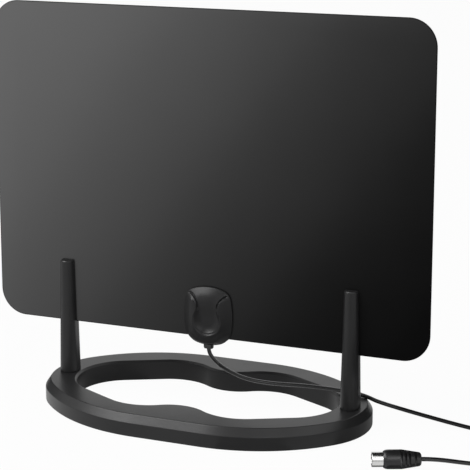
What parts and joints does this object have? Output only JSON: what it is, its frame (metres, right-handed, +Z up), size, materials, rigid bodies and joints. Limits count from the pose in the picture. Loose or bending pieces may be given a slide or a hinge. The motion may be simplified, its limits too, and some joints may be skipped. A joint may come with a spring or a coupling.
{
  "type": "flat indoor tv antenna",
  "caption": "Thin black rectangular panel held upright in slotted tapered posts on an oval ring base, with a coupler pod at its lower edge, a thin coaxial cord and an aerial plug.",
  "frame": {"origin": "on the table, under the middle of the base", "axes": "+X along the panel to the viewer's right, +Y from the front to the back, +Z up"},
  "size_m": [0.3982, 0.14, 0.2804],
  "materials": {
    "panel_black": "satin, fine grain",
    "foil": "bright foil",
    "stand_black": "satin, fine spark texture",
    "foot_rubber": "matt",
    "screw_steel": "zinc plated",
    "pod_black": "satin",
    "board_green": "solder mask",
    "ferrite": "sintered, matt",
    "contact_brass": "plain",
    "cord_black": "satin jacket",
    "tie_black": "satin",
    "grip_black": "satin",
    "plug_metal": "bright plated",
    "insulator_white": "plain"
  },
  "bodies": {
    "root": {"panel_front_sheet": "panel_black", "panel_rear_sheet": "panel_black", "foil_loop_left": "foil", "foil_loop_right": "foil", "base_ring": "stand_black", "foot_front_left": "foot_rubber", "foot_front_right": "foot_rubber", "foot_rear_left": "foot_rubber", "foot_rear_right": "foot_rubber", "foot_end_left": "foot_rubber", "foot_end_right": "foot_rubber", "post_left": "stand_black", "post_right": "stand_black", "post_screws": "screw_steel", "pod_front_cover": "pod_black", "pod_rear_cover": "pod_black", "pod_screws": "screw_steel", "matching_board": "board_green", "ferrite_core": "ferrite", "contact_rivet_left": "contact_brass", "contact_rivet_right": "contact_brass", "strain_relief": "cord_black", "cord_lead": "cord_black", "cord_coil": "cord_black", "cord_tail": "cord_black", "cord_tie": "tie_black", "plug_grip": "grip_black", "plug_barrel": "plug_metal", "plug_insulator": "insulator_white", "plug_pin": "plug_metal"}
  },
  "joints": []
}
